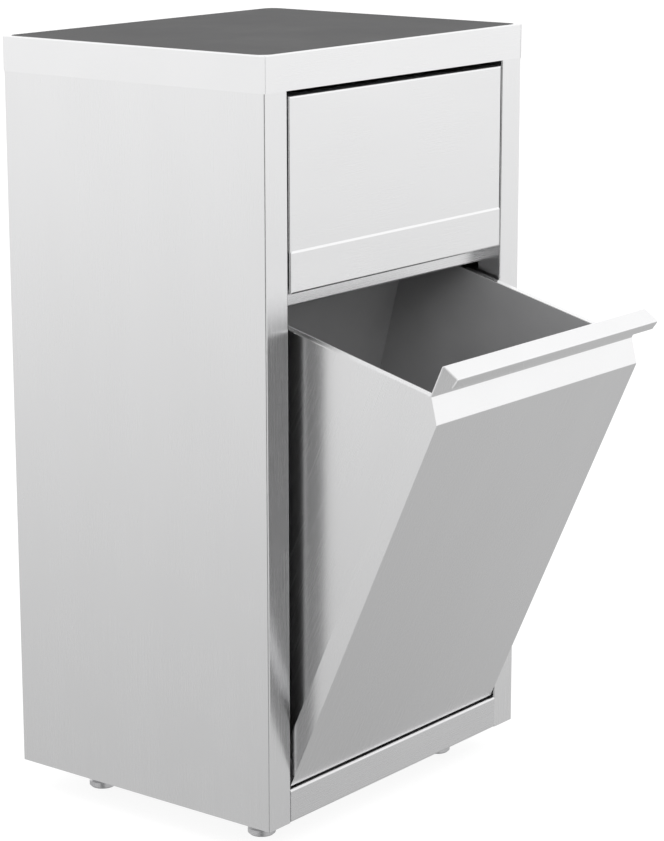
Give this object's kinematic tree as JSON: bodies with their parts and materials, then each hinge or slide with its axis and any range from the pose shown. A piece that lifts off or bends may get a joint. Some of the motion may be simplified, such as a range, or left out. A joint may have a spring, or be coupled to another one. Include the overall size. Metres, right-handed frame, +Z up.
{
  "type": "tilt-out waste bin cabinet",
  "caption": "Free-standing stainless-steel cabinet with a tilt-out waste bin hinged at its bottom front edge, a pull-out drawer above it and levelling feet.",
  "frame": {"origin": "on the floor, below the middle of the outline's width and depth with the bin open; the cabinet's front plane is 85.15 mm in front of it", "axes": "+Z up, -Y out of the front, +X to the right seen from the front"},
  "size_m": [0.5, 0.6338, 0.944],
  "materials": {
    "stainless": "fine brushed stainless steel, satin",
    "tray_steel": "mill-finish stainless steel",
    "zinc_steel": "zinc-plated steel",
    "foot_steel": "turned stainless steel",
    "fixings": "stainless steel",
    "black_steel": "black-oxidised steel",
    "mat": "dark grey, finely grained rubber-like sheet",
    "lining": "grey, dull moulded plastic",
    "nylon": "black nylon",
    "rubber": "black rubber"
  },
  "bodies": {
    "cabinet": {"back_panel": "stainless", "back_screws": "fixings", "base_rail": "stainless", "floor_panel": "stainless", "foot_lock_nuts": "foot_steel", "foot_plate_front_left": "foot_steel", "foot_plate_front_right": "foot_steel", "foot_plate_rear_left": "foot_steel", "foot_plate_rear_right": "foot_steel", "mid_rail": "stainless", "pivot_bushes": "nylon", "pivot_plates": "zinc_steel", "runner_carrier_left": "zinc_steel", "runner_carrier_right": "zinc_steel", "runner_outer_left": "zinc_steel", "runner_outer_right": "zinc_steel", "side_left": "stainless", "side_right": "stainless", "worktop": "stainless", "worktop_mat": "mat", "worktop_stiffener_front": "zinc_steel", "worktop_stiffener_rear": "zinc_steel"},
    "bin": {"bin_back": "stainless", "bin_buffers": "rubber", "bin_front": "stainless", "bin_inner_front": "stainless", "bin_lining": "lining", "bin_pivot_clips": "black_steel", "bin_pivot_left": "black_steel", "bin_pivot_right": "black_steel", "bin_side_left": "stainless", "bin_side_right": "stainless", "bin_stop_pads": "rubber"},
    "drawer": {"drawer_front": "stainless", "drawer_inner_front": "stainless", "runner_inner_left": "zinc_steel", "runner_inner_right": "zinc_steel", "tray_back": "tray_steel", "tray_bottom": "tray_steel", "tray_rivets": "fixings", "tray_side_left": "tray_steel", "tray_side_right": "tray_steel"},
    "runner_slides": {"runner_middle_left": "zinc_steel", "runner_middle_right": "zinc_steel"},
    "foot_front_left": {"foot_base_front_left": "foot_steel", "foot_stud_front_left": "foot_steel"},
    "foot_front_right": {"foot_base_front_right": "foot_steel", "foot_stud_front_right": "foot_steel"},
    "foot_rear_left": {"foot_base_rear_left": "foot_steel", "foot_stud_rear_left": "foot_steel"},
    "foot_rear_right": {"foot_base_rear_right": "foot_steel", "foot_stud_rear_right": "foot_steel"}
  },
  "joints": [
    {"name": "bin_tilt", "type": "hinge", "parent": "cabinet", "child": "bin", "pos_m": [0, -0.07515, 0.0934], "axis": [1, 0, 0], "range_deg": [-24, 0]},
    {"name": "drawer_slide", "type": "slide", "parent": "cabinet", "child": "drawer", "axis": [0, -1, 0], "range_m": [0, 0.3]},
    {"name": "runner_slide", "type": "slide", "parent": "cabinet", "child": "runner_slides", "axis": [0, -1, 0], "range_m": [0, 0.15]},
    {"name": "foot_screw_front_left", "type": "slide", "parent": "cabinet", "child": "foot_front_left", "axis": [0, 0, -1], "range_m": [0, 0.02]},
    {"name": "foot_screw_front_right", "type": "slide", "parent": "cabinet", "child": "foot_front_right", "axis": [0, 0, -1], "range_m": [0, 0.02]},
    {"name": "foot_screw_rear_left", "type": "slide", "parent": "cabinet", "child": "foot_rear_left", "axis": [0, 0, -1], "range_m": [0, 0.02]},
    {"name": "foot_screw_rear_right", "type": "slide", "parent": "cabinet", "child": "foot_rear_right", "axis": [0, 0, -1], "range_m": [0, 0.02]}
  ],
  "couplings": [
    {"joint": "runner_slide", "follows": "drawer_slide", "ratio": 0.5}
  ]
}
